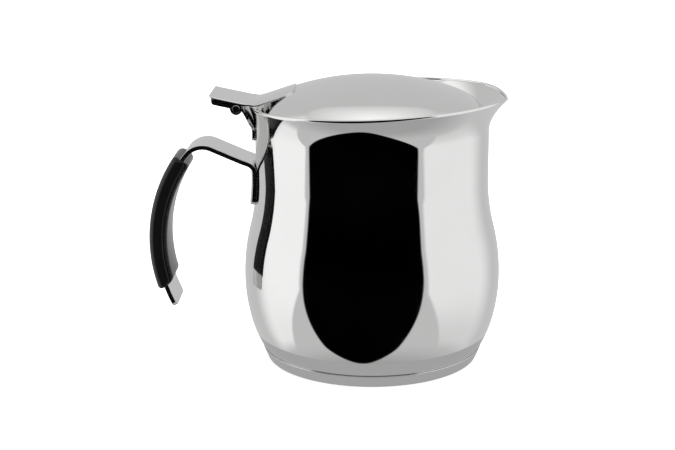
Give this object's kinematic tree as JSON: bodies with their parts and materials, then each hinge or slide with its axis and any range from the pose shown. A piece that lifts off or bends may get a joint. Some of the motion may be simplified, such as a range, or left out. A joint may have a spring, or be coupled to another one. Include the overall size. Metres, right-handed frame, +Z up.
{
  "type": "candle melting pot",
  "caption": "Bulbous steel pouring pot with a flared round spout, a sealed flat base, a strap handle with a black grip, and a domed lid that swings up on a hinge when its thumb plate is pressed",
  "frame": {"origin": "centre of the face the pot rests on, on the axis of its round body", "axes": "+X points to the pouring spout, with the handle and the hinge on -X; +Z is up; +Y completes the frame"},
  "size_m": [0.1935, 0.14, 0.1548],
  "materials": {
    "body_steel": "mirror-polished stainless steel",
    "disc_aluminium": "plain aluminium, sealed inside the base",
    "base_steel": "polished stainless steel",
    "strap_steel": "polished stainless steel strip",
    "grip_plastic": "black heat-resisting plastic, semi-matt",
    "hinge_steel": "polished stainless steel",
    "pin_steel": "bright steel rivet",
    "lid_steel": "polished stainless steel",
    "lever_steel": "polished stainless steel"
  },
  "bodies": {
    "pot": {"pot_body": "body_steel", "heat_disc": "disc_aluminium", "base_cap": "base_steel", "handle_strap": "strap_steel", "handle_grip": "grip_plastic", "hinge_bracket": "hinge_steel"},
    "lid": {"lid_dome": "lid_steel", "thumb_lever": "lever_steel", "hinge_pin": "pin_steel"}
  },
  "joints": [
    {"name": "lid_hinge", "type": "hinge", "parent": "pot", "child": "lid", "pos_m": [-0.0714, 0, 0.1399], "axis": [0, -1, 0], "range_deg": [0, 110]}
  ]
}
